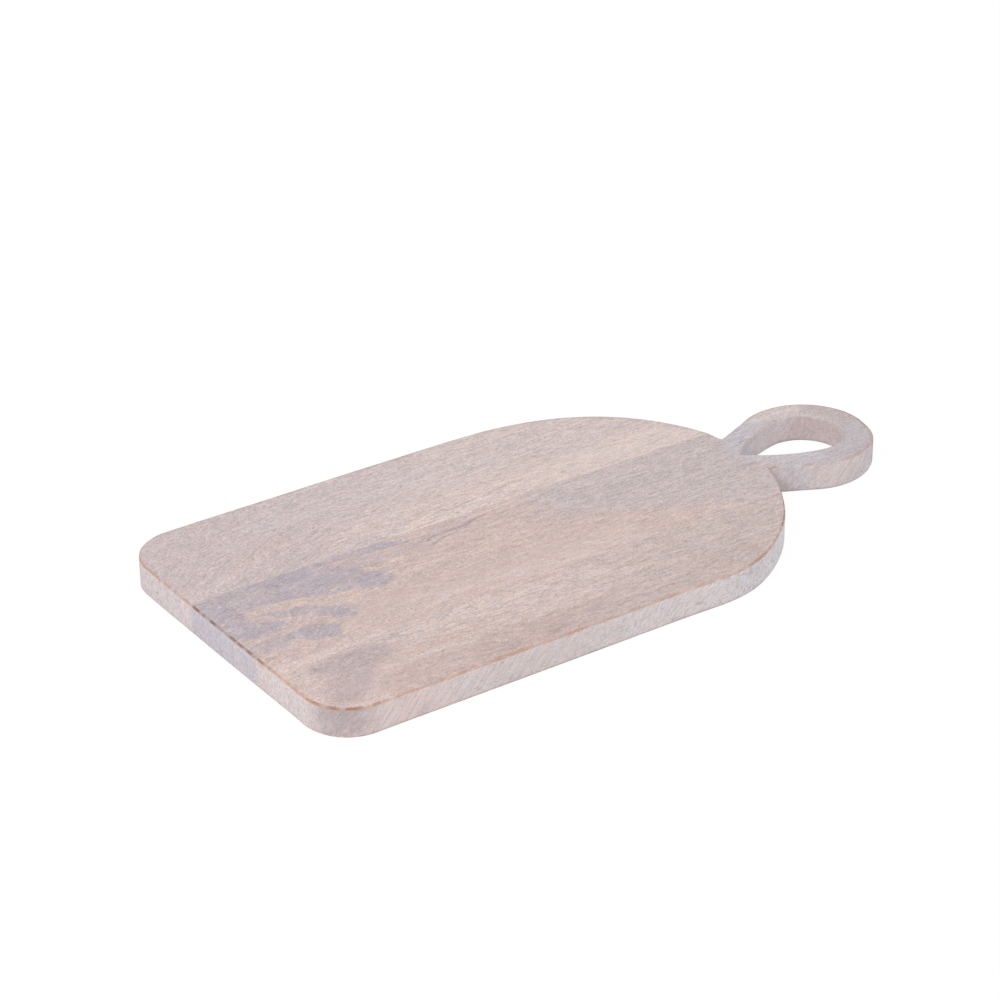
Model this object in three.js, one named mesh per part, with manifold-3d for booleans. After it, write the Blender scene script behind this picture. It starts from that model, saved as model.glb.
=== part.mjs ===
// A wooden cutting and serving board with a loop handle, in millimetres, +Z up.
// Three mango-wood staves are edge-glued into a panel, and the panel is sawn to one outline: a straight body
// with rounded front corners, an arched far end and a teardrop handle loop. All arrises are eased.
// The rear flank of the loop reaches past the rear glue joint, so a slice of the rear stave stays on the loop.
// The origin is the centre of the footprint, at the underside, with the handle towards +X.
import * as THREE from "three";
import { mergeVertices } from "three/addons/utils/BufferGeometryUtils.js";
import Module from "manifold-3d";

const wasm = await Module();
wasm.setup();

// Driving dimensions of the panel.
const BOARD_WIDTH = 200;
const BODY_LENGTH = 321.3; // front end to the crown of the arch, under the neck of the loop
const ARCH_RADIUS = 106; // of either side of the arch, which is slightly pointed as it is over half the width
const THICKNESS = 16.4;
const CORNER_RADIUS = 26;
const ARRIS_RADIUS = 1.5; // the rounding along every edge of both faces

// Driving dimensions of the handle loop.
const HANDLE_REACH = 73.5; // how far the loop stands out beyond the crown
const HANDLE_RADIUS = 36.4; // outside of the loop's round end
const HANDLE_BAND = 16.15; // width of the wood around the round end
const NECK_WIDTH = 40.4; // across the two notches where the loop leaves the body
const HOLE_SETBACK = 6.5; // how far the hole's point runs into the body, behind the crown
const HOLE_FLANK_RADIUS = 84; // the slight curve of the hole's two flanks

// Driving dimensions of the glue-up. The centre and rear staves make up the rest of the width.
const FRONT_STAVE_WIDTH = 54.5; // from the board's front edge to the middle of the front joint
const CHEEK_DEPTH = 8.5; // how far the loop reaches past the middle of the rear joint
const GLUE_FILM = 0.2; // thickness of the cured glue

// How finely the curves are stepped.
const ARC_STEPS = 12;
const ARRIS_STEPS = 3;

// Places worked out from the driving dimensions.
const halfWidth = BOARD_WIDTH / 2;
const frontX = -(BODY_LENGTH + HANDLE_REACH) / 2;
const crownX = frontX + BODY_LENGTH;
const archShift = ARCH_RADIUS - halfWidth; // how far each side's centre lies beyond the middle line
const archX = crownX - Math.sqrt(ARCH_RADIUS ** 2 - archShift ** 2);
const tipX = crownX + HANDLE_REACH;
const loopX = tipX - HANDLE_RADIUS; // centre of the loop's round end
const rearJointY = HANDLE_RADIUS - CHEEK_DEPTH;
const frontJointY = FRONT_STAVE_WIDTH - halfWidth;

// The outline of body and loop in one line, anticlockwise from the front right corner.
// Each straight flank of the loop runs from a notch in the arch to a tangent on the round end.
function boardOutline() {
  const quarter = Math.PI / 2;
  const notch = Math.asin((NECK_WIDTH / 2 + archShift) / ARCH_RADIUS);
  const notchX = archX + ARCH_RADIUS * Math.cos(notch);
  const toNotch = new THREE.Vector2(notchX - loopX, NECK_WIDTH / 2);
  const touch = toNotch.angle() - Math.acos(HANDLE_RADIUS / toNotch.length());
  const cornerX = frontX + CORNER_RADIUS;
  const cornerY = halfWidth - CORNER_RADIUS;
  return new THREE.Shape()
    .moveTo(cornerX, -halfWidth)
    .lineTo(archX, -halfWidth)
    .absarc(archX, archShift, ARCH_RADIUS, -quarter, -notch)
    .absarc(loopX, 0, HANDLE_RADIUS, -touch, touch)
    .absarc(archX, -archShift, ARCH_RADIUS, notch, quarter)
    .lineTo(cornerX, halfWidth)
    .absarc(cornerX, cornerY, CORNER_RADIUS, quarter, Math.PI)
    .lineTo(frontX, -cornerY)
    .absarc(cornerX, -cornerY, CORNER_RADIUS, Math.PI, Math.PI + quarter);
}

// The teardrop hole: a round nose, and two flatter flank arcs that leave it smoothly and meet in a point.
function handleHole() {
  const noseRadius = HANDLE_RADIUS - HANDLE_BAND;
  const shift = HOLE_FLANK_RADIUS - noseRadius; // from the nose's centre to a flank's centre
  const toPoint = crownX - HOLE_SETBACK - loopX;
  const swing = Math.acos(
    (toPoint ** 2 + shift ** 2 - HOLE_FLANK_RADIUS ** 2) / (2 * toPoint * shift),
  );
  const flank = new THREE.Vector2(Math.cos(swing), Math.sin(swing)).multiplyScalar(shift);
  const leave = Math.PI - swing;
  const meet = Math.atan2(flank.y, toPoint - flank.x);
  return new THREE.Path()
    .absarc(loopX, 0, noseRadius, -leave, leave)
    .absarc(loopX + flank.x, -flank.y, HOLE_FLANK_RADIUS, leave, meet)
    .absarc(loopX + flank.x, flank.y, HOLE_FLANK_RADIUS, -meet, -leave);
}

// The whole panel as one sawn and eased slab, from which the staves are taken.
function panelGeometry() {
  const outline = boardOutline();
  outline.holes.push(handleHole());
  return new THREE.ExtrudeGeometry(outline, {
    depth: THICKNESS - 2 * ARRIS_RADIUS,
    curveSegments: ARC_STEPS,
    bevelEnabled: true,
    bevelThickness: ARRIS_RADIUS,
    bevelSize: ARRIS_RADIUS,
    bevelOffset: -ARRIS_RADIUS,
    bevelSegments: ARRIS_STEPS,
  }).translate(0, 0, ARRIS_RADIUS);
}

// The strip of the panel between two lines along X, as a block that is larger than the panel elsewhere.
function stripGeometry(lowY, highY) {
  const length = 2 * (tipX - frontX);
  const height = 3 * THICKNESS;
  return new THREE.BoxGeometry(length, highY - lowY, height).translate(0, (lowY + highY) / 2, 0);
}

function toSolid(geometry) {
  const bare = geometry.clone().deleteAttribute("normal").deleteAttribute("uv");
  const merged = mergeVertices(bare);
  return new wasm.Manifold(
    new wasm.Mesh({
      numProp: 3,
      vertProperties: merged.getAttribute("position").array,
      triVerts: new Uint32Array(merged.index.array),
    }),
  );
}

function toGeometry(solid) {
  const { vertProperties, triVerts } = solid.getMesh();
  const geometry = new THREE.BufferGeometry()
    .setAttribute("position", new THREE.BufferAttribute(vertProperties, 3))
    .setIndex(new THREE.BufferAttribute(triVerts, 1))
    .toNonIndexed();
  geometry.computeVertexNormals();
  return geometry;
}

// Finishes, as the limed surface of each stave reads by eye, and the cured glue in the joints.
const limedWood = (name, color) =>
  new THREE.MeshStandardMaterial({ name, color, roughness: 0.72, metalness: 0 });
const rearWood = limedWood("rear_limed_wood", 0xcfbfbc);
const centreWood = limedWood("centre_limed_wood", 0xc9b8b6);
const frontWood = limedWood("front_limed_wood", 0xcbb9b4);
const glue = new THREE.MeshStandardMaterial({
  name: "cured_glue",
  color: 0xd8c7a6,
  roughness: 0.5,
  metalness: 0,
});

// The glue-up from rear to front: each layer across the width, with the names of the pieces it is sawn into.
// A layer that a flank of the loop crosses gives a first piece on the body and a second one on the loop.
const halfFilm = GLUE_FILM / 2;
const layers = [
  {
    span: [rearJointY + halfFilm, BOARD_WIDTH],
    finish: rearWood,
    names: ["rear_stave", "handle_rear_cheek"],
  },
  {
    span: [rearJointY - halfFilm, rearJointY + halfFilm],
    finish: glue,
    names: ["rear_glue_line", "handle_rear_glue_line"],
  },
  {
    span: [frontJointY + halfFilm, rearJointY - halfFilm],
    finish: centreWood,
    names: ["centre_stave"],
  },
  {
    span: [frontJointY - halfFilm, frontJointY + halfFilm],
    finish: glue,
    names: ["front_glue_line", "handle_front_glue_line"],
  },
  {
    span: [-BOARD_WIDTH, frontJointY - halfFilm],
    finish: frontWood,
    names: ["front_stave", "handle_front_cheek"],
  },
];

const board = new THREE.Group();
board.name = "cutting_board";
const panel = toSolid(panelGeometry());
for (const { span, finish, names } of layers) {
  const sawn = panel.intersect(toSolid(stripGeometry(...span))).decompose();
  sawn.sort((a, b) => a.boundingBox().min[0] - b.boundingBox().min[0]);
  sawn.forEach((solid, order) => {
    const mesh = new THREE.Mesh(toGeometry(solid), finish);
    mesh.name = names[order];
    board.add(mesh);
  });
}

export default board;
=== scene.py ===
import math

import bpy
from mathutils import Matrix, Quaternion, Vector, noise


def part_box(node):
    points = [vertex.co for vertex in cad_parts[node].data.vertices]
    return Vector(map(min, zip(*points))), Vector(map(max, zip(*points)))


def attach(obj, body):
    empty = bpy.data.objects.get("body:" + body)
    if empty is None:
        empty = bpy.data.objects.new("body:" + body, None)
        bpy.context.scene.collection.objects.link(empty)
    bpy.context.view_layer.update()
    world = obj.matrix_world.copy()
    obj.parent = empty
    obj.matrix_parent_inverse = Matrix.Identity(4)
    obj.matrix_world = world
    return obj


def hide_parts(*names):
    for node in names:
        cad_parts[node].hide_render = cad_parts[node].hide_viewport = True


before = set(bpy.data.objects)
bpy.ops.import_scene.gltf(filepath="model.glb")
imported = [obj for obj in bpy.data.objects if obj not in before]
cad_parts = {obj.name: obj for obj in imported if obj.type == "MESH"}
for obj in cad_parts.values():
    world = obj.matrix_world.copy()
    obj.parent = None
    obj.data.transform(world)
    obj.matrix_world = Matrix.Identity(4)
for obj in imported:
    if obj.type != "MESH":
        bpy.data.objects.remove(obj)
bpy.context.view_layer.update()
print("pieces in the frame:", ", ".join(sorted(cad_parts)))

# %% [markdown]
# Sizes
#
# Nothing is measured twice. The joints, the width, the thickness and the two ends are read from the boxes
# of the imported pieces. Only the curves that a box can't show are written here, in metres: the corner, the
# arch, the loop and its hole. Either side of the arch swings from a centre a little beyond the middle line,
# so the arch is slightly pointed under the neck of the loop.
# %% Sizes from the frame
MM = 0.001
rear_low, rear_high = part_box("rear_stave")
centre_low, centre_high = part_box("centre_stave")

half_width = rear_high.y
thickness = rear_high.z
front_x = centre_low.x
tip_x = centre_high.x

CORNER_RADIUS = 26 * MM
ARCH_RADIUS = 106 * MM
LOOP_RADIUS = 36.4 * MM
LOOP_BAND = 16.15 * MM
NECK_WIDTH = 40.4 * MM
HOLE_SETBACK = 6.5 * MM
HOLE_FLANK_RADIUS = 84 * MM
arch_shift = ARCH_RADIUS - half_width
arch_x = rear_high.x - math.sqrt(ARCH_RADIUS**2 - (rear_low.y + arch_shift) ** 2)
crown_x = arch_x + math.sqrt(ARCH_RADIUS**2 - arch_shift**2)
loop_x = tip_x - LOOP_RADIUS
print(f"board {tip_x - front_x:.4f} x {2 * half_width:.4f} x {thickness:.4f} m, crown at x {crown_x:.4f}")

# %% [markdown]
# The camera
#
# A product photograph like this one is taken from a good distance with a long lens, so the far end is
# hardly smaller than the near end. The eye point, the aim and the lens were worked out from the outline of
# the board. A camera can be aimed with a constraint, but a rotation that is set once is simpler: the
# camera's own -Z axis tracks the aim, and a small roll about that axis levels the picture as the photograph
# has it.
# %% Camera
EYE = Vector((-0.8798, -1.2446, 0.8481))
AIM = Vector((0.00265, 0.0551, 0.0))
LENS_MM = 123.16
ROLL = math.radians(-0.418)

lens = bpy.data.cameras.new("long_lens")
lens.lens = LENS_MM
lens.sensor_width = 36
lens.clip_end = 50
camera = bpy.data.objects.new("camera", lens)
camera.location = EYE
camera.rotation_mode = "QUATERNION"
camera.rotation_quaternion = (AIM - EYE).to_track_quat("-Z", "Y") @ Quaternion((0, 0, 1), ROLL)
bpy.context.scene.collection.objects.link(camera)
bpy.context.scene.camera = camera
bpy.context.scene.view_settings.view_transform = "Standard"
print(f"camera {(AIM - EYE).length:.3f} m from the board")

# %% [markdown]
# Wires that add up
#
# Node trees get long, so two small classes keep them readable. A Sheet is a node tree to write on. Its
# first method adds any node, and its second a Vector Math node. A Wire is an output socket, and Python's
# operators on wires add Math nodes, so 1 - mask * 0.5 is written just like that. The same classes serve
# shaders and Geometry Nodes.
# %% Sheet and Wire
class Wire:
    """An output socket on a sheet. Sums of wires add Math nodes."""

    def __init__(self, sheet, socket):
        self.sheet = sheet
        self.socket = socket

    def out(self, name):
        return Wire(self.sheet, self.socket.node.outputs[name])

    def maths(self, operation, *values):
        return self.sheet.node("ShaderNodeMath", {"operation": operation}, (self, *values))

    def __add__(self, other):
        return self.maths("ADD", other)

    def __sub__(self, other):
        return self.maths("SUBTRACT", other)

    def __rsub__(self, other):
        return self.sheet.node("ShaderNodeMath", {"operation": "SUBTRACT"}, (other, self))

    def __mul__(self, other):
        return self.maths("MULTIPLY", other)

    def __truediv__(self, other):
        return self.maths("DIVIDE", other)

    __radd__ = __add__
    __rmul__ = __mul__


class Sheet:
    """A node tree to write on."""

    def __init__(self, tree):
        self.tree = tree

    def node(self, kind, settings=None, inputs=(), output=0):
        made = self.tree.nodes.new(kind)
        for name, value in (settings or {}).items():
            setattr(made, name, value)
        pairs = inputs.items() if isinstance(inputs, dict) else enumerate(inputs)
        for key, value in pairs:
            if isinstance(value, Wire):
                self.tree.links.new(value.socket, made.inputs[key])
            else:
                made.inputs[key].default_value = value
        return Wire(self, made.outputs[output]) if made.outputs else None

    def vector(self, operation, *inputs, **named):
        values = {**dict(enumerate(inputs)), **named}
        return self.node("ShaderNodeVectorMath", {"operation": operation}, values)


print("sheets and wires are ready for shaders and Geometry Nodes")

# %% [markdown]
# The white table
#
# The photograph has a pure white ground with no more than a hint of shadow. The floor is a plain pale disc.
# To the camera and in reflections it mostly glows at a strength of about 1, which is white, and a small
# share of its own diffuse shading stays as a trace of shadow. Every other ray meets an ordinary pale floor
# that throws soft light up on the edges of the board. The sky works the same way: white when seen, dimmer
# as a light. Two faces in one plane flicker, so the floor lies a hair above the underside, and a camera
# below still sees the underside of the board. A key lamp on the left and a cooler fill on the right model
# the walls.
# %% Floor, sky and lamps
FLOOR_RADIUS = 12.0
FLOOR_ALBEDO = (0.86, 0.86, 0.86, 1)
FLOOR_RISE = 0.2 * MM
GLOW_SHARE = 0.95
GLOW_STRENGTH = 1.015
SKY_STRENGTH = 0.58


def seen_directly(sheet):
    path = sheet.node("ShaderNodeLightPath")
    rays = path.out("Is Camera Ray") + path.out("Is Glossy Ray") + path.out("Is Transmission Ray")
    return rays.maths("MINIMUM", 1.0)


def white_floor():
    material = bpy.data.materials.new("white_table")
    material.use_nodes = True
    material.node_tree.nodes.clear()
    sheet = Sheet(material.node_tree)
    matt = sheet.node("ShaderNodeBsdfDiffuse", inputs={"Color": FLOOR_ALBEDO})
    glow = sheet.node("ShaderNodeEmission", inputs={"Strength": GLOW_STRENGTH})
    shown = sheet.node("ShaderNodeMixShader", inputs=[seen_directly(sheet) * GLOW_SHARE, matt, glow])
    sheet.node("ShaderNodeOutputMaterial", inputs={"Surface": shown})
    return material


def white_sky():
    world = bpy.data.worlds.new("white_room")
    world.use_nodes = True
    world.node_tree.nodes.clear()
    sheet = Sheet(world.node_tree)
    strength = SKY_STRENGTH + seen_directly(sheet) * (1 - SKY_STRENGTH)
    sky = sheet.node("ShaderNodeBackground", inputs={"Color": (1, 1, 1, 1), "Strength": strength})
    sheet.node("ShaderNodeOutputWorld", inputs={"Surface": sky})
    return world


def soft_box(name, place, size, watts, tint):
    lamp = bpy.data.lights.new(name, "AREA")
    lamp.shape = "DISK"
    lamp.size = size
    lamp.energy = watts
    lamp.color = tint
    holder = bpy.data.objects.new(name, lamp)
    holder.location = place
    holder.rotation_euler = (-Vector(place)).to_track_quat("-Z", "Y").to_euler()
    bpy.context.scene.collection.objects.link(holder)
    return holder


bpy.ops.mesh.primitive_circle_add(vertices=64, radius=FLOOR_RADIUS, fill_type="NGON")
floor = bpy.context.object
floor.name = "white_table"
floor.location.z = FLOOR_RISE
floor.data.materials.append(white_floor())
bpy.context.scene.world = white_sky()
key = soft_box("key_soft_box", place=(-2.3, -0.6, 2.2), size=2.0, watts=49, tint=(1, 1, 1))
fill = soft_box("fill_soft_box", place=(2.0, -2.2, 1.4), size=1.6, watts=26, tint=(0.92, 0.96, 1))
print("floor, sky,", key.name, "and", fill.name)

# %% [markdown]
# The line that the saw follows
#
# On the bench the glued panel is sawn along one pencil line, and a second line is sawn inside the loop.
# Each is drawn here as a closed poly curve from arcs and straight runs. A saw in the hand drifts, so a
# stretch also has a few evenly spaced drifts in millimetres, where more than 0 is outward. A curve point
# carries a radius and a tilt, which are free to use: they store how far the upper and the lower edge were
# eased there. The loop and its hole, where fingers go, are softer than the body, most of all on the loop's
# far side and at the nose of the hole.
# %% Outline with its drift and easing
BODY_EASING = (1.2 * MM, 1.2 * MM)
LOOP_NEAR_EASING = (1.8 * MM, 2.6 * MM)
LOOP_FAR_EASING = (4.2 * MM, 2.6 * MM)
HOLE_EASING = (1.7 * MM, 2.6 * MM)
HOLE_NOSE_EASING = (4.2 * MM, 2.6 * MM)
LOOP_SOFT_FROM = math.radians(-30)
HOLE_SOFT_HALF = math.radians(35)
PATH_STEP = 1.5 * MM
BLEND_POINTS = 6
EASING_WANDER = 0.16
EASING_WANDER_LENGTH = 22 * MM


def arc(centre_x, centre_y, radius, start, end):
    """Points round an arc, without its last one, which the next stretch of the path begins with."""
    steps = max(2, round(abs(end - start) * radius / PATH_STEP))
    angles = [start + (end - start) * step / steps for step in range(steps)]
    return [(centre_x + radius * math.cos(a), centre_y + radius * math.sin(a)) for a in angles]


def straight(start, end):
    steps = max(1, round(math.dist(start, end) / (2 * PATH_STEP)))
    return [tuple(Vector(start).lerp(Vector(end), step / steps)) for step in range(steps)]


def sawn(points, easing, drifts=(0, 0)):
    """Each point with its upper and lower easing and the drift of the saw there."""
    stretch = []
    for index, point in enumerate(points):
        before, share = divmod(index / len(points) * (len(drifts) - 1), 1)
        drift = drifts[int(before)] * (1 - share) + drifts[int(before) + 1] * share
        stretch.append((point, *easing, drift * MM))
    return stretch


def body_line():
    """The outside of the board, anticlockwise from the near corner."""
    right = math.pi / 2
    notch = math.asin((NECK_WIDTH / 2 + arch_shift) / ARCH_RADIUS)
    notch_x = arch_x + ARCH_RADIUS * math.cos(notch)
    to_notch = Vector((notch_x - loop_x, NECK_WIDTH / 2))
    touch = math.atan2(to_notch.y, to_notch.x) - math.acos(LOOP_RADIUS / to_notch.length)
    touch_x = loop_x + LOOP_RADIUS * math.cos(touch)
    touch_y = LOOP_RADIUS * math.sin(touch)
    corner_x = front_x + CORNER_RADIUS
    corner_y = half_width - CORNER_RADIUS

    near_side = straight((corner_x, -half_width), (arch_x, -half_width))
    near_arch = arc(arch_x, arch_shift, ARCH_RADIUS, -right, -notch)
    near_flank = straight((notch_x, -NECK_WIDTH / 2), (touch_x, -touch_y))
    near_loop = arc(loop_x, 0, LOOP_RADIUS, -touch, LOOP_SOFT_FROM)
    far_loop = arc(loop_x, 0, LOOP_RADIUS, LOOP_SOFT_FROM, touch)
    far_flank = straight((touch_x, touch_y), (notch_x, NECK_WIDTH / 2))
    far_arch = arc(arch_x, -arch_shift, ARCH_RADIUS, notch, right)
    far_side = straight((arch_x, half_width), (corner_x, half_width))
    far_corner = arc(corner_x, corner_y, CORNER_RADIUS, right, 2 * right)
    front_end = straight((front_x, corner_y), (front_x, -corner_y))
    near_corner = arc(corner_x, -corner_y, CORNER_RADIUS, 2 * right, 3 * right)

    path = sawn(near_side, BODY_EASING, [0, -0.35, -0.75, -1.25, -1.8])
    path += sawn(near_arch, BODY_EASING, [-1.9, 0, 1.6, 0.8, -0.1, -0.4, -1.3, -0.9, 0.3])
    path += sawn(near_flank, LOOP_NEAR_EASING)
    path += sawn(near_loop, LOOP_NEAR_EASING)
    path += sawn(far_loop, LOOP_FAR_EASING, [0, -0.2, -0.5, -0.7, -1, -1, -1.8, -0.6])
    path += sawn(far_flank, LOOP_FAR_EASING, [-0.9, -0.6])
    path += sawn(far_arch, BODY_EASING, [0.6, 0, 0.4, 0.1, 0, -0.6, -1.3, -1.5, -0.7])
    path += sawn(far_side, BODY_EASING, [-0.2, 0.3, 0.3, 0.1, -0.3, -0.5])
    path += sawn(far_corner, BODY_EASING, [-0.7, -0.8, -0.6, -0.6, -0.3, 0])
    path += sawn(front_end, BODY_EASING, [0.1, 0.1, 0, 0, -0.4, -0.6])
    path += sawn(near_corner, BODY_EASING, [-0.7, -0.1, 0.2, 0.8, 0.6, 0.1])
    return path


def hole_line():
    """The teardrop hole, clockwise: round the nose, then along two flat arcs that meet in a point."""
    nose_radius = LOOP_RADIUS - LOOP_BAND
    shift = HOLE_FLANK_RADIUS - nose_radius
    to_point = crown_x - HOLE_SETBACK - loop_x
    swing = math.acos((to_point**2 + shift**2 - HOLE_FLANK_RADIUS**2) / (2 * to_point * shift))
    flank_x = shift * math.cos(swing)
    flank_y = shift * math.sin(swing)
    leave = math.pi - swing
    meet = math.atan2(flank_y, to_point - flank_x)
    path = sawn(arc(loop_x, 0, nose_radius, leave, HOLE_SOFT_HALF), HOLE_EASING)
    path += sawn(arc(loop_x, 0, nose_radius, HOLE_SOFT_HALF, -HOLE_SOFT_HALF), HOLE_NOSE_EASING)
    path += sawn(arc(loop_x, 0, nose_radius, -HOLE_SOFT_HALF, -leave), HOLE_EASING)
    path += sawn(arc(loop_x + flank_x, flank_y, HOLE_FLANK_RADIUS, -leave, -meet), HOLE_EASING)
    path += sawn(arc(loop_x + flank_x, -flank_y, HOLE_FLANK_RADIUS, meet, leave), HOLE_EASING)
    return path


def add_spline(curve, path):
    count = len(path)
    spline = curve.splines.new("POLY")
    spline.points.add(count - 1)
    spline.use_cyclic_u = True
    for index, (place, *_) in enumerate(path):
        near = [path[(index + step) % count] for step in range(-BLEND_POINTS, BLEND_POINTS + 1)]
        upper, lower, drift = (sum(values) / len(near) for values in list(zip(*near))[1:])
        along = (Vector(path[(index + 1) % count][0]) - Vector(path[index - 1][0])).normalized()
        outward = Vector((along.y, -along.x))
        wander = noise.noise(Vector((*place, 0)) / EASING_WANDER_LENGTH)
        spline.points[index].co = (*(Vector(place) + outward * drift), 0, 1)
        spline.points[index].radius = upper * (1 + EASING_WANDER * wander)
        spline.points[index].tilt = lower
    return count


saw_line = bpy.data.curves.new("saw_line", "CURVE")
saw_line.dimensions = "3D"
outside_count = add_spline(saw_line, body_line())
hole_count = add_spline(saw_line, hole_line())
print(f"saw line: {outside_count} points outside, {hole_count} round the hole")

# %% [markdown]
# The eased panel, by rule
#
# Once the outline is known, the shape of the panel follows a rule, so Geometry Nodes make it. A short line
# of points is swept along the saw line, and a formula then puts each point in its place on the section: in
# on the face, round the upper arris, down the wall and round the lower arris. The easing stored on the path
# is the radius of either quarter round. The two faces are filled, and a block cuts one stave, cheek or glue
# line out of the panel, just as the staves of a real board share one sawn edge.
# %% Geometry Nodes tree for one piece of the panel
ARRIS_STEPS = 6
FACE_MARGIN = 1.2 * MM
WELD = 0.002 * MM


def section_place(sheet, index, path, depth):
    """Where a point of the section lies. The index counts from the upper face round to the lower one."""
    last = 2 * ARRIS_STEPS + 3
    from_end = index.maths("MINIMUM", last - index)
    turned = (from_end - 1) / ARRIS_STEPS
    turn = turned.maths("MAXIMUM", 0.0) * (math.pi / 2)
    margin = (1 - from_end).maths("MAXIMUM", 0.0) * FACE_MARGIN
    is_upper = index.maths("LESS_THAN", last / 2)
    radius = path.out("lower") + is_upper * (path.out("upper") - path.out("lower"))
    inset = radius * (1 - turn.maths("SINE")) + margin
    sunk = radius * (1 - turn.maths("COSINE"))
    height = is_upper * (depth - 2 * sunk) + sunk
    sideways = sheet.vector("SCALE", path.out("inward"), Scale=inset)
    upward = sheet.node("ShaderNodeCombineXYZ", inputs={"Z": height})
    level = sheet.vector("ADD", path.out("place"), sideways)
    return sheet.vector("ADD", level, upward)


def captured(sheet, geometry, **fields):
    """Keeps fields of a curve's points so that they can still be read after the sweep."""
    keeper = sheet.tree.nodes.new("GeometryNodeCaptureAttribute")
    sheet.tree.links.new(geometry.socket, keeper.inputs["Geometry"])
    kinds = {"VECTOR": "VECTOR", "VALUE": "FLOAT", "INT": "INT"}
    for name, field in fields.items():
        keeper.capture_items.new(kinds[field.socket.type], name)
        sheet.tree.links.new(field.socket, keeper.inputs[name])
    return Wire(sheet, keeper.outputs["Geometry"])


def face_fill(sheet, wall, rim, height):
    loops = sheet.node("GeometryNodeMeshToCurve", inputs=[wall, rim])
    flat = sheet.node("GeometryNodeFillCurve", {"mode": "NGONS"}, [loops])
    lift = sheet.node("ShaderNodeCombineXYZ", inputs={"Z": height})
    return sheet.node("GeometryNodeTransform", inputs={"Geometry": flat, "Translation": lift})


def panel_tree():
    tree = bpy.data.node_groups.new("eased_panel_piece", "GeometryNodeTree")
    ports = {
        "Saw line": "NodeSocketGeometry",
        "Thickness": "NodeSocketFloat",
        "Block middle": "NodeSocketVector",
        "Block size": "NodeSocketVector",
        "Finish": "NodeSocketMaterial",
    }
    for name, kind in ports.items():
        tree.interface.new_socket(name, in_out="INPUT", socket_type=kind)
    tree.interface.new_socket("Piece", in_out="OUTPUT", socket_type="NodeSocketGeometry")
    sheet = Sheet(tree)
    given = sheet.node("NodeGroupInput")
    depth = given.out("Thickness")

    tangent = sheet.node("GeometryNodeInputTangent")
    inward = sheet.vector("CROSS_PRODUCT", (0, 0, 1), tangent)
    path = captured(
        sheet,
        given,
        place=sheet.node("GeometryNodeInputPosition"),
        inward=inward,
        upper=sheet.node("GeometryNodeInputRadius"),
        lower=sheet.node("GeometryNodeInputCurveTilt"),
    )
    ruler = sheet.node("GeometryNodeCurvePrimitiveLine", inputs={"End": (0, 0, 1)})
    dotted = sheet.node("GeometryNodeResampleCurve", inputs={"Curve": ruler, "Count": 2 * ARRIS_STEPS + 4})
    section = captured(sheet, dotted, index=sheet.node("GeometryNodeInputIndex"))

    swept = sheet.node("GeometryNodeCurveToMesh", inputs={"Curve": path, "Profile Curve": section})
    spot = section_place(sheet, section.out("index"), path, depth)
    wall = sheet.node("GeometryNodeSetPosition", inputs={"Geometry": swept, "Position": spot})

    one_face = sheet.node("GeometryNodeInputMeshEdgeNeighbors")
    is_rim = one_face.maths("COMPARE", 1.0, 0.1)
    place = sheet.node("GeometryNodeInputPosition")
    z = sheet.node("ShaderNodeSeparateXYZ", inputs=[place], output="Z")
    is_high = z.maths("GREATER_THAN", depth * 0.5)
    upper = face_fill(sheet, wall, is_rim * is_high, depth)
    lower = face_fill(sheet, wall, is_rim * (1 - is_high), 0.0)
    lower = sheet.node("GeometryNodeFlipFaces", inputs=[lower])
    parts = tree.nodes.new("GeometryNodeJoinGeometry")
    for part in (wall, upper, lower):
        tree.links.new(part.socket, parts.inputs[0])
    joined = Wire(sheet, parts.outputs[0])
    panel = sheet.node("GeometryNodeMergeByDistance", inputs={"Geometry": joined, "Distance": WELD})

    cube = sheet.node("GeometryNodeMeshCube", inputs={"Size": given.out("Block size")})
    to_place = {"Geometry": cube, "Translation": given.out("Block middle")}
    block = sheet.node("GeometryNodeTransform", inputs=to_place)
    shared = {"operation": "INTERSECT", "solver": "MANIFOLD"}
    cut = sheet.node("GeometryNodeMeshBoolean", shared, {"Mesh 2": panel})
    tree.links.new(block.socket, cut.socket.node.inputs["Mesh 2"])
    piece = sheet.node("GeometryNodeSetShadeSmooth", inputs={"Geometry": cut})
    whole = sheet.node("GeometryNodeRealizeInstances", inputs={"Geometry": piece})
    coat = {"Geometry": whole, "Material": given.out("Finish")}
    done = sheet.node("GeometryNodeSetMaterial", inputs=coat)
    sheet.node("NodeGroupOutput", inputs={"Piece": done})
    return tree


panel_piece = panel_tree()
print("panel tree with", len(panel_piece.nodes), "nodes")

# %% [markdown]
# Limed wood: solid patterns instead of pictures
#
# The staves are a pale fruitwood, sanded, brushed with a thin white lime wash and rubbed back. A photograph
# could be wrapped on the top, but then edges, end grain and underside would need pictures of their own.
# Solid noise does better: it is stretched along the fibres like the wood itself, so a fleck that runs over
# an edge carries on down the side. All patterns here are measured in millimetres from the middle of the
# front end.
# %% Colours, clouds and fades
def srgb(red, green, blue):
    """A colour as the eye reads it on a screen, 0 to 255, in the linear values that shaders use."""
    shares = [level / 255 for level in (red, green, blue)]
    return (*[s / 12.92 if s <= 0.04045 else ((s + 0.055) / 1.055) ** 2.4 for s in shares], 1)


def cloud(sheet, place, size, detail=2.0, output=0):
    """Soft noise from 0 to 1 whose blobs measure about the given size along X, Y and Z."""
    inputs = {"Vector": sheet.vector("DIVIDE", place, size), "Scale": 1, "Detail": detail}
    return sheet.node("ShaderNodeTexNoise", inputs=inputs, output=output)


def swing(sheet, place, size):
    """The same noise, swinging about 0."""
    return cloud(sheet, place, size) - 0.5


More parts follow.
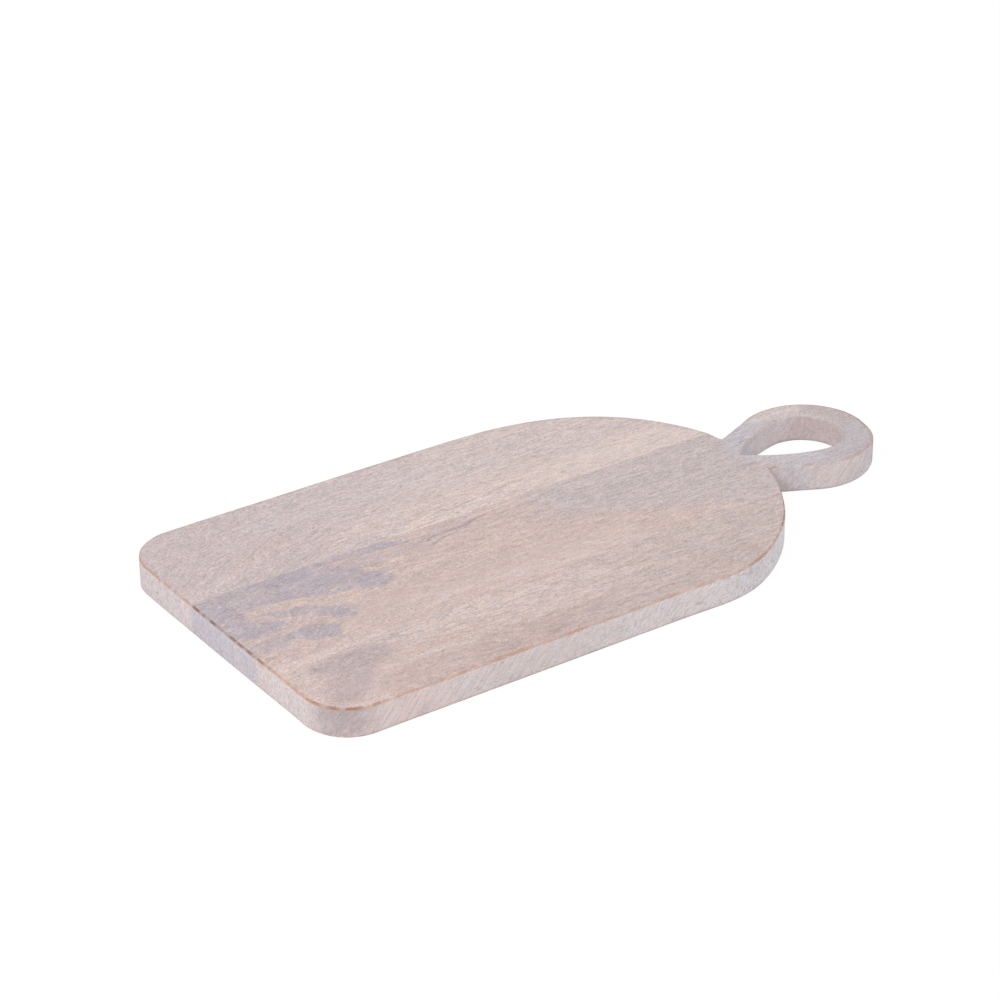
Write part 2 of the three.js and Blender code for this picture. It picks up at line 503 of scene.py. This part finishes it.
def fade(sheet, value, start, end):
    """0 up to the start, 1 from the end on, and a soft slope between. The end may be the smaller one."""
    inputs = {"Value": value, "From Min": start, "From Max": end}
    return sheet.node("ShaderNodeMapRange", {"interpolation_type": "SMOOTHSTEP"}, inputs)


def blend(sheet, share, under, over):
    return sheet.node("ShaderNodeMix", {"data_type": "RGBA"}, {0: share, 6: under, 7: over}, output=2)


def new_finish(name):
    """An empty material, and the wire that gives a point's place in millimetres from the front end."""
    material = bpy.data.materials.new(name)
    material.use_nodes = True
    material.node_tree.nodes.clear()
    sheet = Sheet(material.node_tree)
    here = sheet.node("ShaderNodeTexCoord", output="Object")
    from_front = {"Vector": here, "Scale": [1 / MM] * 3, "Location": (-front_x / MM, 0, 0)}
    return material, sheet, sheet.node("ShaderNodeMapping", inputs=from_front)


print("limewashed white reads", [round(c, 3) for c in srgb(212, 208, 214)])

# %% [markdown]
# The way the fibres run
#
# Fibres run along the board, but they never run quite straight. Three things bend them here: a lean near
# the front end, where the tree forked and the fibres rise through the face at a slant; a slow wander with a
# ripple and a fine crinkle on top, curliest at the front; and, in the rear and centre staves, a whorl
# beside an old branch, made by turning the place about a point. The result is a bent copy of the place.
# Fibres, flecks and pores are drawn in it.
# %% Bent fibres
SLOW_WANDER = ((110, 32, 32), 24)
RIPPLE = ((28, 9, 9), 9)
CRINKLE = ((8, 4, 4), 8)
CURLY_UP_TO = (20, 140)
CURL_BEHIND = 0.4


def wandered(sheet, place, size, amount):
    """The place moved across the fibres, seldom by more than a third of the amount."""
    push = sheet.vector("SUBTRACT", cloud(sheet, place, size, output="Color"), (0.5, 0.5, 0.5))
    across = sheet.node("ShaderNodeCombineXYZ", inputs={"Y": amount, "Z": amount})
    return sheet.vector("MULTIPLY_ADD", push, across, place)


def flattened(sheet, place):
    return sheet.vector("MULTIPLY", place, (1, 1, 0))


def twirled(sheet, place, centre, reach, turn):
    away = sheet.vector("DISTANCE", flattened(sheet, place), centre).out("Value")
    inputs = {"Vector": place, "Center": centre, "Angle": fade(sheet, away, reach, 0) * turn}
    return sheet.node("ShaderNodeVectorRotate", {"rotation_type": "Z_AXIS"}, inputs)


def fibre_place(sheet, place, stave):
    moved = sheet.vector("ADD", place, (0, 0, stave["depth_in_tree"]))
    for centre, reach, turn in stave["whorls"]:
        moved = twirled(sheet, moved, centre, reach, turn)
    x = sheet.node("ShaderNodeSeparateXYZ", inputs=[moved], output="X")
    lean, reach = stave["lean"]
    slanted = x.maths("SMOOTH_MIN", reach, reach / 2) * -lean
    moved = sheet.vector("ADD", moved, sheet.node("ShaderNodeCombineXYZ", inputs={"Y": slanted}))
    curly = CURL_BEHIND + (1 - CURL_BEHIND) * fade(sheet, x, *reversed(CURLY_UP_TO))
    for size, amount in (SLOW_WANDER, RIPPLE, CRINKLE):
        moved = wandered(sheet, moved, size, curly * amount)
    return moved


print(f"fibres wander by up to about {SLOW_WANDER[1] / 3:.0f} mm")

# %% [markdown]
# Stains, sapwood and smoky heartwood
#
# What tells this board from another is its marks: a blue-grey fungus stain in the centre stave, like ink
# that crept along the fibres, a pale band of sapwood beside the rear joint, and a smoky fan of heartwood at
# the near corner. A brush in texture paint could draw them, but it needs an image. Here each mark is one
# brush stroke: a path of points, each with half the width of the brush there. The place is pushed about
# first, so the rims run with the grain. Depth counts a little too, so a mark narrows on its way through the
# board.
# %% Brush strokes that creep along the fibres
CREEP_ALONG = ((40, 5, 6), 14)
CREEP_ACROSS = ((18, 9, 9), 9)
CREEP_GRAIN = ((3, 1.2, 1.2), 6)
DEPTH_SHARE = 0.3


def crept(sheet, place):
    """The place that the marks are drawn in: level with the top face, and pushed about."""
    creeps = (CREEP_ALONG, CREEP_ACROSS, CREEP_GRAIN)
    along, across, grain = (swing(sheet, place, size) * amount for size, amount in creeps)
    offset = sheet.node("ShaderNodeCombineXYZ", inputs={"X": along + grain, "Y": across + grain * 0.5})
    level = sheet.vector("SUBTRACT", place, (0, 0, thickness / MM))
    return sheet.vector("MULTIPLY_ADD", level, (1, 1, DEPTH_SHARE), offset)


def beyond_run(sheet, place, start, end):
    """How far a point lies outside one straight run of a stroke. It is negative under the brush."""
    line = Vector(end[:2]) - Vector(start[:2])
    toward = (*(line / line.length_squared), 0)
    from_start = sheet.vector("SUBTRACT", place, (*start[:2], 0))
    along = sheet.vector("DOT_PRODUCT", from_start, toward).out("Value")
    share = sheet.node("ShaderNodeClamp", inputs=[along])
    nearest = sheet.vector("SCALE", (*line, 0), Scale=share)
    distance = sheet.vector("DISTANCE", from_start, nearest).out("Value")
    return distance - share * (end[2] - start[2]) - start[2]


def stroke(sheet, place, path, blur):
    """1 under the brush along the whole path, and 0 outside a blurred rim."""
    beyond = beyond_run(sheet, place, *path[:2])
    for start, end in zip(path[1:], path[2:]):
        beyond = beyond.maths("MINIMUM", beyond_run(sheet, place, start, end))
    return fade(sheet, beyond, blur / 2, -blur / 2)


def marked(sheet, colour, place, marks, mask):
    """Lays marks over a colour one after the other. A mark is its tint, strength, blur and path."""
    for tint, strength, blur, path in marks:
        colour = blend(sheet, stroke(sheet, place, path, blur) * mask * strength, colour, srgb(*tint))
    return colour


print(f"a mark creeps by up to about {CREEP_ALONG[1] / 3:.0f} mm along the fibres")

# %% [markdown]
# Worn edges and thirsty walls
#
# Rubbing back the wash takes it off the upper arris first, and the bare ochre wood shows there as a broken
# thin line. The sawn walls are rougher and soak up more lime, so they are paler and cooler than the face,
# with brown flecks where the lime didn't take, and the fibres come out of them at a slant. Blender can
# measure a curved edge with a Bevel or Geometry node, but an export can't carry that. On a flat board the
# distance to the nearer face tells the same: none on the faces, about a millimetre on an arris, more on a
# wall.
# %% Distance from the faces, and what it tells
ARRIS_BAND = (0.0, 0.12, 0.9, 1.5)
WASH_REMNANT_SIZE = (5, 5, 5)
WASH_REMNANT_RIM = (0.36, 0.6)
WORN_AT_LEAST = 0.25
WALL_FROM = (0.7, 1.6)


def face_gap(sheet, z):
    return z.maths("MINIMUM", thickness / MM - z)


# In the centre stave this arris band also carries a painted highlight, besides the bare wood.
def upper_arris(sheet, place, z):
    """1 on the upper arris, broken up where the wash held."""
    inner, full, still, outer = ARRIS_BAND
    depth = thickness / MM - z
    bare = fade(sheet, cloud(sheet, place, WASH_REMNANT_SIZE, detail=4), *WASH_REMNANT_RIM)
    broken = WORN_AT_LEAST + (1 - WORN_AT_LEAST) * bare
    return broken * fade(sheet, depth, inner, full) * fade(sheet, depth, outer, still)


print(f"a wall starts {WALL_FROM[1]} mm from the nearer face")

# %% Lime and grain on the walls
loop_start = (crown_x - front_x) / MM
LIME_AT_END = srgb(216, 208, 211)
LIME_ON_SIDES = srgb(214, 212, 218)
LIME_CHANGE = (5, 40)
LIME_SHARE = 0.42
MORE_TOWARD_ARCH = (0.38, 120, 240)
MORE_AT_END = (0.16, 30, 5)
LESS_ON_LOOP = (0.7, loop_start - 12, loop_start - 2)
LIME_TAKES = (-0.3, 0.1)
WALL_SLANT = math.radians(48)
WALL_FIBRE_SIZE = (13, 1.4, 1.4)
WALL_FLECK_SIZE = (3, 1, 1)
FLECKS_FROM = (100, 170)
FLECKS_UP_TO = (loop_start + 10, loop_start - 10)


def along_board(sheet, x, amount, start, end):
    """An amount that comes in softly between two places along the board."""
    return fade(sheet, x, start, end) * amount


def lime_on_wall(sheet, colour, x, wall, grain):
    """The walls take more lime toward the arch, where the saw left end grain, and at the front end."""
    lime = blend(sheet, fade(sheet, x, *LIME_CHANGE), LIME_AT_END, LIME_ON_SIDES)
    share = LIME_SHARE + along_board(sheet, x, *MORE_TOWARD_ARCH) + along_board(sheet, x, *MORE_AT_END)
    share = share * (1 - along_board(sheet, x, *LESS_ON_LOOP))
    return blend(sheet, wall * share * fade(sheet, grain, *LIME_TAKES), colour, lime)


def wall_grain(sheet, place, x):
    """Long fibres at a slant, which turn into short flecks round the arch."""
    turn = {"Vector": place, "Angle": WALL_SLANT}
    slanted = sheet.node("ShaderNodeVectorRotate", {"rotation_type": "Y_AXIS"}, turn)
    fibres = swing(sheet, slanted, WALL_FIBRE_SIZE)
    flecks = swing(sheet, slanted, WALL_FLECK_SIZE)
    flecked = fade(sheet, x, *FLECKS_FROM) * fade(sheet, x, *FLECKS_UP_TO)
    return fibres + flecked * (flecks - fibres)


print(f"the loop starts {loop_start:.1f} mm from the front end, and takes little lime")

# %% [markdown]
# Putting the limed wood together
#
# One function makes the finish of any stave from its own list of tones and marks. It follows the tree and
# then the workshop: broad tones, marks, lime on the sawn walls and what shows through it, fine fibres and
# specks, open pores, and at last the bare arrises, which can carry a painted highlight too. Fibres and
# specks make the colour lighter or darker, and some are warmer or greyer than their neighbours. The foot
# of a wall and the underside are darkened a little, as painted shade.
# Pores and fibres also feed a faint bump and the roughness, because the wash lies matt in the pores.
# %% Tones and fine grain of a face
STREAK_SIZE = (80, 5.5, 9)
STREAK_SHARE = 0.12
THREAD_SIZE = (34, 1.9, 3)
FIBRE_SIZE = (9, 1, 1)
FIBRE_SHARE = 0.5
FLECK_SIZE = (14, 1.9, 1.9)
FLECK_SHARE = 0.34
FAINTER_ON_LOOP = (0.5, loop_start, loop_start + 20)


def wood_tones(sheet, creeping, y, stave):
    """The tone of a stave's front, which turns into the tone of its back."""
    start, end, skew = stave["change"]
    x = sheet.node("ShaderNodeSeparateXYZ", inputs=[creeping])
    skewed_x = x + y.maths("MINIMUM", 0.0) * skew
    front_tone, back_tone = (srgb(*tone) for tone in stave["tones"])
    return blend(sheet, fade(sheet, skewed_x, start, end), front_tone, back_tone)


def face_grain(sheet, bent, x, fibre, stave):
    """Streaks, threads, fibres and flecks, from the broadest to the shortest."""
    streak = swing(sheet, bent, STREAK_SIZE)
    thread = swing(sheet, bent, THREAD_SIZE)
    fleck = swing(sheet, bent, FLECK_SIZE)
    grain = streak * STREAK_SHARE + thread * stave["threads"] + fibre * FIBRE_SHARE + fleck * FLECK_SHARE
    return grain * (1 - along_board(sheet, x, *FAINTER_ON_LOOP))


print("grain from", FIBRE_SIZE, "to", STREAK_SIZE, "mm")

# %% The limed wood
PATCH_SIZE = (7, 3, 3)
PATCH_RIM = (0.36, 0.56)
MARK_AT_LEAST = 0.6
SPECKLE_SIZE = (0.9, 0.8, 0.8)
SPECKLE_SHARE = 0.85
SPECKLE_LESS_ON_WALL = 0.35
WALL_GRAIN_SHARE = 0.48
WARMTH_SIZE = (9, 1.6, 1.6)
WARMTH_SHARE = 0.2
BUSY = 1.08
CALMER = 0.35
CALM_BLUR = 20
SHADED_FOOT = (2.4, 0.6)
FOOT_SHADE_SHARE = 0.1
PORE_SIZE = (7, 0.8, 0.8)
PORE_RIM = (0.61, 0.72)
PORE_SHARE = 0.55
PORE_TINT = srgb(164, 145, 140)
FIBRE_RELIEF = 0.5
BUMP_STRENGTH = 0.5
BUMP_HEIGHT = 0.08 * MM
MATT = 0.66
PORE_ROUGHER = 0.2
FIBRE_SMOOTHER = 0.15
WORN_SMOOTHER = 0.1
SPECULAR = 0.3


def limed_wood(name, stave):
    material, sheet, place = new_finish(name)
    split = sheet.node("ShaderNodeSeparateXYZ", inputs=[place])
    x, y, z = split, split.out("Y"), split.out("Z")
    wall = fade(sheet, face_gap(sheet, z), *WALL_FROM)
    bent = fibre_place(sheet, place, stave)
    creeping = crept(sheet, place)
    flat = flattened(sheet, place)

    colour = wood_tones(sheet, creeping, y, stave)
    patch = fade(sheet, cloud(sheet, bent, PATCH_SIZE), *PATCH_RIM)
    colour = marked(sheet, colour, creeping, stave["marks"], MARK_AT_LEAST + (1 - MARK_AT_LEAST) * patch)
    on_wall = wall_grain(sheet, place, x)
    colour = lime_on_wall(sheet, colour, x, wall, on_wall)
    colour = marked(sheet, colour, creeping, stave["wall_marks"], wall)

    fibre = swing(sheet, bent, FIBRE_SIZE)
    speckle = swing(sheet, place, SPECKLE_SIZE) * (SPECKLE_SHARE - SPECKLE_LESS_ON_WALL * wall)
    busy = BUSY - CALMER * stroke(sheet, flat, stave["calm"], CALM_BLUR)
    texture = (face_grain(sheet, bent, x, fibre, stave) * (1 - wall) + speckle) * busy
    # painted shade: the lowest two millimetres or so of every wall, and the underside, are darkened
    foot_shade = fade(sheet, z, *SHADED_FOOT) * FOOT_SHADE_SHARE
    level = 1 + texture + on_wall * wall * WALL_GRAIN_SHARE - foot_shade
    warmth = swing(sheet, bent, WARMTH_SIZE) * WARMTH_SHARE
    tinted = sheet.node("ShaderNodeCombineXYZ", inputs=[level + warmth, level, level - warmth])
    colour = sheet.vector("MULTIPLY", colour, tinted)

    pore = fade(sheet, cloud(sheet, bent, PORE_SIZE), *PORE_RIM)
    colour = blend(sheet, pore * PORE_SHARE, colour, PORE_TINT)
    arris_mask = upper_arris(sheet, place, z)
    # the arris marks are bare wood, and in the centre stave also one painted highlight
    colour = marked(sheet, colour, flat, stave["arris_wear_and_highlight"], arris_mask)

    relief = fibre * FIBRE_RELIEF - pore + on_wall * wall
    dents = {"Height": relief, "Strength": BUMP_STRENGTH, "Distance": BUMP_HEIGHT}
    bump = sheet.node("ShaderNodeBump", inputs=dents)
    rough = MATT + pore * PORE_ROUGHER - fibre * FIBRE_SMOOTHER - arris_mask * WORN_SMOOTHER
    coat = {"Base Color": colour, "Roughness": rough, "Specular IOR Level": SPECULAR, "Normal": bump}
    shader = sheet.node("ShaderNodeBsdfPrincipled", inputs=coat)
    sheet.node("ShaderNodeOutputMaterial", inputs={"Surface": shader})
    return material


print(f"limed wood has dents of up to {BUMP_HEIGHT / MM:.2f} mm")

# %% [markdown]
# Three staves from three trees
#
# The recipe is now filled in for each stave, with the tones and marks that its wood shows. The two tones
# are for the front and the back of the stave, and the change says where the one turns into the other and
# how far that line is skewed. Threads are the share of the fine long lines, and calm is a stretch where the
# grain is fainter. Marks lie on the wood, wall marks on its sawn walls only, and the arris marks on its
# upper arris, mostly as bare wood. In the centre stave two marks by the neck and one arris mark are
# painted highlights.
# The points of a path are written as x, y and half the width, in millimetres.
# %% Rear stave
BARE_OCHRE = (188, 134, 92)
BARE_UMBER = (162, 124, 100)
SAPWOOD = (223, 205, 198)
GREY_LINE = (182, 166, 162)
SAPWOOD_BAND = [
    (118, 31, 3), (150, 33, 5.5), (190, 35, 8), (230, 38, 11), (262, 40.5, 12.5), (320, 40.5, 12.5),
]
FAR_RIM = [
    (20, 100, 2), (216, 100, 2), (244, 95, 2), (270, 84.5, 2), (291, 68, 2), (307, 47, 2), (317, 26, 2),
]
REAR_STAVE = {
    "depth_in_tree": 40,
    "lean": (0.45, 80),
    "whorls": [((28, 78, 0), 16, 1.2)],
    "tones": [(204, 188, 187), (212, 196, 192)],
    "change": (50, 170, 0),
    "threads": 0.14,
    "calm": [(215, 44, 10), (300, 40, 10)],
    "marks": [
        ((211, 196, 192), 0.7, 12, [(2, 34, 5), (24, 38, 6)]),
        ((207, 188, 183), 0.7, 12, [(36, 46, 6), (66, 56, 6)]),
        ((206, 192, 192), 0.7, 16, [(70, 80, 12), (160, 82, 12)]),
        ((215, 195, 189), 0.7, 10, [(90, 42, 8), (160, 44, 10), (220, 48, 9)]),
        (SAPWOOD, 0.85, 6, SAPWOOD_BAND),
        (GREY_LINE, 0.7, 0.8, [(128, 30, 0.4), (138, 31.5, 0.6), (147, 32.5, 0.3)]),
        (GREY_LINE, 0.7, 0.8, [(140, 35.5, 0.3), (155, 36.5, 0.6), (172, 38, 0.4)]),
        (GREY_LINE, 0.7, 0.8, [(178, 37.5, 0.3), (192, 39.5, 0.6), (206, 41.5, 0.4)]),
        ((188, 172, 167), 0.55, 2, FAR_RIM),
    ],
    "wall_marks": [],
    "arris_wear_and_highlight": [
        ((178, 132, 98), 0.6, 4, [(6, 88, 6), (0, 74, 6), (0, 28, 6)]),
        (BARE_UMBER, 0.65, 4, [(20, 100, 8), (220, 100, 8), (256, 92, 8), (300, 60, 8), (320, 28, 6)]),
        (BARE_UMBER, 0.5, 4, [(340, 32, 5), (358, 37, 5), (378, 32, 5)]),
    ],
}
rear_wood = limed_wood("rear_limed_wood", REAR_STAVE)
print(rear_wood.name, "with", len(rear_wood.node_tree.nodes), "nodes")

# %% Centre stave
BLUE = (184, 173, 180)
DEEP_BLUE = (179, 166, 174)
LAVENDER = (192, 184, 188)
DARK_LINE = (150, 135, 138)
MAIN_STAIN = [(-6, 22, 13), (20, 21.5, 13.5), (40, 20, 15), (54, 16.5, 14), (70, 7.5, 11), (88, -1, 8)]
FRONT_STAIN = [(-4, 4, 8), (6, 2, 9), (8, -6, 9.5), (12, -11, 7.5), (24, -13, 3.5), (28, -13.5, 2.5)]
PITH_LINE = [(128, 15.5, 0.4), (140, 17, 0.8), (147, 18.2, 0.8), (153, 19.3, 0.9), (170, 22, 0.3)]
CENTRE_STAVE = {
    "depth_in_tree": 140,
    "lean": (0.25, 70),
    "whorls": [((34, -6, 0), 20, -0.9)],
    "tones": [(208, 187, 181), (201, 187, 186)],
    "change": (178, 214, 2.1),
    "threads": 0.16,
    "calm": [(66, -26, 12), (225, -34, 12)],
    "marks": [
        ((218, 198, 192), 0.7, 12, [(90, -36, 6), (215, -37, 8)]),
        (BLUE, 1, 3.5, MAIN_STAIN),
        (BLUE, 1, 2, [(52, 30, 7), (85, 29, 5.8), (103, 26.5, 4.2), (120, 19.8, 0.7)]),
        (BLUE, 0.4, 8, [(72, 18, 5), (100, 16, 4)]),
        (BLUE, 0.9, 1.2, [(80, 13, 0.8), (90, 11.5, 1), (98, 9.8, 0.6)]),
        (BLUE, 1, 4, FRONT_STAIN),
        (BLUE, 1, 2.5, [(26, -1.5, 1.8), (41, -8, 3.4), (48, -12.5, 4.2), (54, -19, 4.4), (57, -23.5, 3)]),
        (BLUE, 0.4, 6, [(58, -15, 4), (62, -21, 4)]),
        (BLUE, 1, 3, [(24, -25.5, 3), (31, -26.5, 5), (38, -29.5, 7), (43, -33, 6)]),
        (BLUE, 0.7, 6, [(-4, -27, 7), (18, -28, 6)]),
        (DEEP_BLUE, 0.6, 3, [(12, 5, 3), (12, -1, 3)]),
        (DEEP_BLUE, 0.6, 3, [(7, -15.5, 2.5), (22, -14.5, 2.5)]),
        (DEEP_BLUE, 0.55, 2, [(18, 8.5, 1.2), (30, 8.5, 1.5), (42, 5, 1.6), (52, 2.5, 1.4)]),
        (DEEP_BLUE, 0.5, 6, [(45, 20, 6), (60, 14, 7)]),
        (DEEP_BLUE, 0.5, 5, [(76, 6, 4), (90, -2, 5)]),
        ((201, 187, 187), 0.5, 6, [(14, 17, 4), (36, 15, 5)]),
        ((196, 185, 185), 0.6, 3, [(57, 3, 2), (69, 1, 2.5)]),
        ((197, 182, 183), 0.5, 6, [(96, 12, 3), (132, 16, 4), (160, 20, 3)]),
        (DARK_LINE, 0.6, 0.8, PITH_LINE),
        (DARK_LINE, 0.5, 0.8, [(128, 11, 0.4), (140, 13, 0.5), (148, 13.5, 0.3)]),
        (DARK_LINE, 0.4, 0.8, [(112, 14, 0.5), (128, 17.5, 0.4)]),
        # painted highlight: a pale bluish patch on the neck beside the hole's far flank, where the surface
        # catches the light
        ((197, 193, 200), 0.9, 8, [(316, 8, 5), (330, 20, 6), (342, 25, 5)]),
        ((226, 213, 211), 0.8, 8, [(346, 27, 6), (370, 28, 6)]),
        (LAVENDER, 0.9, 9, [(336, -21, 8), (345, -27, 9), (362, -30, 9), (382, -18, 9), (388, 0, 9)]),
        # painted highlight: the same pale bluish patch on the neck beside the hole's near flank
        ((203, 197, 201), 0.9, 8, [(316, -6, 5), (332, -19, 6), (344, -25, 6)]),
        ((194, 180, 180), 0.8, 8, [(387, 4, 8), (380, 17, 7)]),
    ],
    "wall_marks": [
        ((193, 188, 198), 0.6, 14, [(0, 30, 9), (0, -22, 9)]),
        ((214, 202, 203), 0.85, 4, [(330, 0, 10), (348, 0, 20), (360, 0, 22)]),
        ((200, 184, 184), 0.9, 8, [(380, -6, 6), (376, 10, 6), (368, 18, 5)]),
        ((213, 196, 191), 0.6, 8, [(342, -35, 6), (362, -38, 6)]),
        ((166, 156, 163), 0.85, 8, [(386, -27, 6), (396, -8, 6)]),
    ],
    "arris_wear_and_highlight": [
        ((136, 98, 74), 0.9, 4, [(0, 28, 6), (0, 10, 6)]),
        ((140, 114, 104), 0.52, 4, [(0, 4, 6), (0, -8, 6)]),
        ((134, 104, 90), 0.85, 4, [(0, -14, 6), (0, -30, 6)]),
        (BARE_UMBER, 0.9, 4, [(0, -34, 6), (0, -45, 6)]),
        (BARE_UMBER, 0.75, 4, [(306, -45, 6), (319, -24, 4)]),
        ((174, 126, 92), 0.38, 4, [(338, -29, 5), (358, -36, 5), (376, -32, 5), (384, -26, 5)]),
        (BARE_OCHRE, 0.3, 4, [(388, -21, 5), (394, -8, 5)]),
        (BARE_UMBER, 0.5, 4, [(392, -10, 5), (394, 6, 5), (382, 28, 5)]),
        # painted highlight: a bluish-white line on the eased upper arris of the hole's far flank, where it
        # catches the light
        ((206, 206, 213), 0.8, 2, [(316, 1, 1.5), (330, 7, 2), (340, 12, 2)]),
    ],
}
centre_wood = limed_wood("centre_limed_wood", CENTRE_STAVE)
print(centre_wood.name, "with", len(centre_wood.node_tree.nodes), "nodes")

# %% Front stave
SMOKE = (188, 172, 171)
DUN = (194, 173, 167)
FRONT_STAVE = {
    "depth_in_tree": 250,
    "lean": (0.1, 60),
    "whorls": [],
    "tones": [(210, 190, 185), (203, 186, 181)],
    "change": (140, 240, 0),
    "threads": 0.2,
    "calm": [(30, -84, 12), (85, -86, 8)],
    "marks": [
        ((217, 200, 194), 0.6, 10, [(62, -54, 6), (176, -58, 7)]),
        ((217, 196, 190), 0.7, 10, [(2, -57, 6), (8, -68, 5)]),
        ((201, 179, 173), 0.95, 9, [(48, -92, 13), (100, -94, 13)]),
        (DUN, 1, 9, [(100, -92, 13), (160, -92, 12)]),
        ((199, 181, 176), 1, 9, [(160, -92, 13), (250, -88, 14)]),
        (SMOKE, 1, 8, [(20, -60, 5.5), (34, -60, 7.5), (47, -62, 8), (51, -62, 6.5)]),
        (SMOKE, 0.85, 9, [(36, -66, 9), (28, -76, 10), (18, -85, 9)]),
        ((199, 179, 171), 0.7, 5, [(48, -69, 3), (56, -75, 4)]),
        ((190, 176, 176), 0.7, 1, [(55, -52, 0.7), (64, -55, 0.9), (74, -58, 0.6)]),
        ((196, 182, 180), 0.5, 1, [(88, -60, 0.5), (110, -64, 0.7), (130, -67, 0.4)]),
        ((196, 170, 154), 0.4, 5, [(62, -70, 3), (104, -69, 3.5)]),
        ((217, 200, 192), 0.7, 1, [(58, -77, 0.6), (84, -77, 0.8), (94, -80, 0.8), (104, -87, 0.6)]),
        ((220, 201, 196), 0.7, 4, [(-4, -49, 3), (60, -48, 1.5)]),
    ],
    "wall_marks": [
        ((216, 204, 203), 0.6, 16, [(48, -100, 9), (225, -100, 9)]),
        ((220, 197, 191), 0.5, 12, [(30, -100, 6), (62, -100, 6)]),
        ((181, 166, 168), 1, 12, [(1, -87, 4), (7, -93, 6), (15, -98.5, 5)]),
        ((214, 205, 208), 0.5, 10, [(0, -48, 6), (0, -72, 6)]),
    ],
    "arris_wear_and_highlight": [
        (BARE_OCHRE, 0.58, 4, [(0, -45, 6), (0, -74, 6)]),
        (BARE_OCHRE, 0.6, 4, [(0, -74, 6), (3, -87, 6)]),
        ((158, 112, 82), 0.85, 4, [(3, -87, 6), (13, -97, 6)]),
        (BARE_UMBER, 0.6, 4, [(13, -97, 6), (26, -100, 5)]),
        (BARE_OCHRE, 0.5, 4, [(26, -100, 6), (90, -100, 6)]),
        (BARE_OCHRE, 0.42, 4, [(98, -100, 6), (222, -99, 6)]),
        (BARE_OCHRE, 0.55, 6, [(232, -98, 6), (246, -95, 8)]),
        ((174, 127, 94), 0.72, 6, [(254, -93, 6), (272, -84, 8)]),
        ((154, 110, 82), 0.9, 6, [(284, -74, 8), (306, -45, 8)]),
    ],
}
front_wood = limed_wood("front_limed_wood", FRONT_STAVE)
print(front_wood.name, "with", len(front_wood.node_tree.nodes), "nodes")

# %% [markdown]
# The glue lines
#
# A good joint shows as a hairline. The glue itself is amber, and the wash dulls it to nearly the tone of
# the wood, so the line only shows as a slightly darker thread that comes and goes.
# %% Cured glue
GLUE_AMBER = srgb(186, 165, 155)
GLUE_DULLED = srgb(204, 188, 183)
GLUE_PATCH_SIZE = (14, 4, 4)
GLUE_PATCH_RIM = (0.3, 0.7)
GLUE_SMOOTH = 0.45
DULLED_ROUGHER = 0.25


def glue_finish():
    material, sheet, place = new_finish("cured_glue")
    split = sheet.node("ShaderNodeSeparateXYZ", inputs=[place])
    wall = fade(sheet, face_gap(sheet, split.out("Z")), *WALL_FROM)
    dulled = fade(sheet, cloud(sheet, place, GLUE_PATCH_SIZE, detail=3), *GLUE_PATCH_RIM)
    colour = blend(sheet, dulled, GLUE_AMBER, GLUE_DULLED)
    colour = lime_on_wall(sheet, colour, split, wall, dulled - 0.5)
    rough = GLUE_SMOOTH + dulled * DULLED_ROUGHER
    coat = {"Base Color": colour, "Roughness": rough, "Specular IOR Level": SPECULAR}
    shader = sheet.node("ShaderNodeBsdfPrincipled", inputs=coat)
    sheet.node("ShaderNodeOutputMaterial", inputs={"Surface": shader})
    return material


glue = glue_finish()
print(glue.name, "with", len(glue.node_tree.nodes), "nodes")

# %% [markdown]
# Cutting the panel into its pieces
#
# Each piece runs the same tree with its own block. The block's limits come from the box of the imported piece
# that it replaces, so the new staves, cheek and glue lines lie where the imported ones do. The result is made
# a plain mesh, its sharp edges are marked by angle, and it rides on the board's one body.
# %% Staves, cheek and glue lines
SHARP = math.radians(38)
SPARE = 20 * MM
END_SPARE = 1 * MM


def block_of(node):
    """The block that cuts a piece: its own joints across, and room to spare on every sawn side."""
    low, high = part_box(node)
    sawn_in_front = node == "front_stave"
    sawn_behind = node in ("rear_stave", "handle_rear_cheek")
    low_corner = Vector((low.x - END_SPARE, low.y - SPARE * sawn_in_front, -SPARE))
    high_corner = Vector((high.x + END_SPARE, high.y + SPARE * sawn_behind, thickness + SPARE))
    return (low_corner + high_corner) / 2, high_corner - low_corner


def make_piece(node, finish):
    middle, size = block_of(node)
    stock = bpy.data.objects.new(node + "_stock", saw_line)
    bpy.context.scene.collection.objects.link(stock)
    nodes = stock.modifiers.new("panel", "NODES")
    nodes.node_group = panel_piece
    values = {"Thickness": thickness, "Block middle": middle, "Block size": size, "Finish": finish}
    for item in panel_piece.interface.items_tree:
        if item.name in values:
            nodes[item.identifier] = values[item.name]
    stock.update_tag()
    evaluated = stock.evaluated_get(bpy.context.evaluated_depsgraph_get())
    mesh = bpy.data.meshes.new_from_object(evaluated)
    bpy.data.objects.remove(stock)
    mesh.set_sharp_from_angle(angle=SHARP)
    piece = bpy.data.objects.new("finished_" + node, mesh)
    bpy.context.scene.collection.objects.link(piece)
    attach(piece, "root")
    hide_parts(node)
    return piece


PIECES = [
    ("rear_stave", rear_wood, "rear_wood"),
    ("handle_rear_cheek", rear_wood, "rear_wood"),
    ("centre_stave", centre_wood, "centre_wood"),
    ("front_stave", front_wood, "front_wood"),
    ("rear_glue_line", glue, "cured_glue"),
    ("handle_rear_glue_line", glue, "cured_glue"),
    ("front_glue_line", glue, "cured_glue"),
]
for node, finish, slot in PIECES:
    piece = make_piece(node, finish)
    low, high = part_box(node)
    print(node, len(piece.data.vertices), "points, packed size", [round(x, 4) for x in high - low],
          "finished size", [round(x, 4) for x in piece.dimensions])
